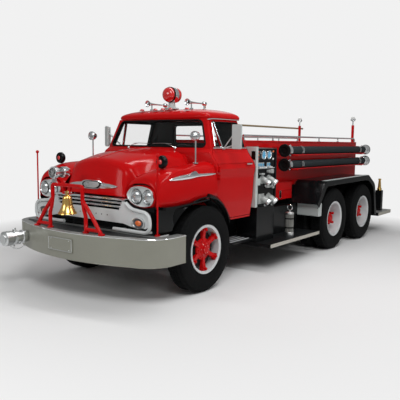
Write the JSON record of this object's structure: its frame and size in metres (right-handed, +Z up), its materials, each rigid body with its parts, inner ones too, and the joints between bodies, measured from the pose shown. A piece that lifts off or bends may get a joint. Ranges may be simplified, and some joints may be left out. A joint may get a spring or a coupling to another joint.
{
  "type": "tandem-axle fire engine",
  "caption": "Conventional-cab fire engine with open hose bed, side pump panels, hard suction hoses, bell and siren on a bumper deck, opening doors and hood, steering and rolling wheels.",
  "frame": {"origin": "on the ground at the middle of the vehicle's overall footprint", "axes": "+Z up, -Y forward, +X to the vehicle's left"},
  "size_m": [2.36, 7.62, 2.438],
  "materials": {
    "red_paint": "glossy enamel",
    "black_paint": "satin enamel",
    "grey_paint": "satin enamel",
    "silver_paint": "satin enamel",
    "chassis_black": "dull chassis paint",
    "engine_grey": "dull enamel on castings",
    "chrome": "polished",
    "aluminium": "brushed",
    "brass": "polished",
    "tyre": "road tread",
    "hose_rubber": "ribbed",
    "seat_vinyl": "grained vinyl",
    "lamp_red": "clear lens",
    "lamp_amber": "clear lens",
    "glass": "clear",
    "pole_wood": "varnished",
    "wheel_plastic": "moulded rim"
  },
  "bodies": {
    "chassis": {"front_axle": "chassis_black", "rear_axles": "chassis_black", "frame_rails": "chassis_black", "engine_block": "engine_grey", "exhaust": "engine_grey", "front_bumper": "grey_paint", "suction_intake": "chrome", "deck_frames": "red_paint", "siren": "chrome", "grille": "silver_paint", "headlamps": "chrome", "signal_lamps": "lamp_amber", "front_fenders": "red_paint", "splash_panels": "black_paint", "cowl_spotlights": "chrome", "cab_shell": "red_paint", "cab_roof": "red_paint", "cab_glass": "glass", "dashboard": "red_paint", "cab_seat": "seat_vinyl", "roof_lamps": "lamp_red", "air_horns": "chrome", "pump_module": "black_paint", "pump_fittings": "chrome", "tank_body": "red_paint", "body_rails": "chrome", "ladder_pole": "pole_wood", "suction_hoses": "hose_rubber", "tandem_fenders": "black_paint", "running_boards": "black_paint", "step_boxes": "chrome", "extinguisher": "aluminium", "tailboard": "grey_paint", "tail_fittings": "brass"},
    "hood": {"hood": "red_paint"},
    "bell": {"bell": "brass"},
    "steering_wheel": {"steering_wheel": "wheel_plastic"},
    "tie_rod": {"tie_rod": "chassis_black"},
    "left_knuckle": {"left_knuckle": "chassis_black"},
    "left_front_wheel": {"left_front_tyre": "tyre", "left_front_rim": "red_paint"},
    "left_forward_wheels": {"left_forward_tyres": "tyre", "left_forward_rims": "silver_paint"},
    "left_aft_wheels": {"left_aft_tyres": "tyre", "left_aft_rims": "silver_paint"},
    "left_door": {"left_door": "red_paint", "left_door_glass": "glass", "left_mirror": "chrome"},
    "right_knuckle": {"right_knuckle": "chassis_black"},
    "right_front_wheel": {"right_front_tyre": "tyre", "right_front_rim": "red_paint"},
    "right_forward_wheels": {"right_forward_tyres": "tyre", "right_forward_rims": "silver_paint"},
    "right_aft_wheels": {"right_aft_tyres": "tyre", "right_aft_rims": "silver_paint"},
    "right_door": {"right_door": "red_paint", "right_door_glass": "glass", "right_mirror": "chrome"}
  },
  "joints": [
    {"name": "steer_left", "type": "hinge", "parent": "chassis", "child": "left_knuckle", "pos_m": [0.75, -2.39, 0.5], "axis": [0, 0, 1], "range_deg": [-30, 30]},
    {"name": "steer_right", "type": "hinge", "parent": "chassis", "child": "right_knuckle", "pos_m": [-0.75, -2.39, 0.5], "axis": [0, 0, 1], "range_deg": [-30, 30]},
    {"name": "tie_rod_pivot", "type": "hinge", "parent": "left_knuckle", "child": "tie_rod", "pos_m": [0.75, -2.22, 0.318], "axis": [0, 0, 1], "range_deg": [-31, 31]},
    {"name": "steering_wheel_turn", "type": "hinge", "parent": "chassis", "child": "steering_wheel", "pos_m": [0.38, -1.83, 1.56], "axis": [0, 0.5736, 0.8192], "range_deg": [-545, 545]},
    {"name": "left_front_spin", "type": "hinge", "parent": "left_knuckle", "child": "left_front_wheel", "pos_m": [0.95, -2.39, 0.5], "axis": [1, 0, 0], "continuous": true},
    {"name": "right_front_spin", "type": "hinge", "parent": "right_knuckle", "child": "right_front_wheel", "pos_m": [-0.95, -2.39, 0.5], "axis": [1, 0, 0], "continuous": true},
    {"name": "left_forward_spin", "type": "hinge", "parent": "chassis", "child": "left_forward_wheels", "pos_m": [0.894, 1.02, 0.5], "axis": [1, 0, 0], "continuous": true},
    {"name": "right_forward_spin", "type": "hinge", "parent": "chassis", "child": "right_forward_wheels", "pos_m": [-0.894, 1.02, 0.5], "axis": [1, 0, 0], "continuous": true},
    {"name": "left_aft_spin", "type": "hinge", "parent": "chassis", "child": "left_aft_wheels", "pos_m": [0.894, 2.263, 0.5], "axis": [1, 0, 0], "continuous": true},
    {"name": "right_aft_spin", "type": "hinge", "parent": "chassis", "child": "right_aft_wheels", "pos_m": [-0.894, 2.263, 0.5], "axis": [1, 0, 0], "continuous": true},
    {"name": "left_door_swing", "type": "hinge", "parent": "chassis", "child": "left_door", "pos_m": [1.022, -2.104, 1.4], "axis": [0, 0, -1], "range_deg": [0, 65]},
    {"name": "right_door_swing", "type": "hinge", "parent": "chassis", "child": "right_door", "pos_m": [-1.022, -2.104, 1.4], "axis": [0, 0, 1], "range_deg": [0, 65]},
    {"name": "hood_lift", "type": "hinge", "parent": "chassis", "child": "hood", "pos_m": [0, -2.24, 1.612], "axis": [-1, 0, 0], "range_deg": [0, 50]},
    {"name": "bell_swing", "type": "hinge", "parent": "chassis", "child": "bell", "pos_m": [0, -3.52, 1.165], "axis": [1, 0, 0], "range_deg": [-25, 25]}
  ],
  "couplings": [
    {"joint": "steer_right", "follows": "steer_left", "ratio": 1},
    {"joint": "tie_rod_pivot", "follows": "steer_left", "ratio": -1},
    {"joint": "steering_wheel_turn", "follows": "steer_left", "ratio": 18}
  ]
}
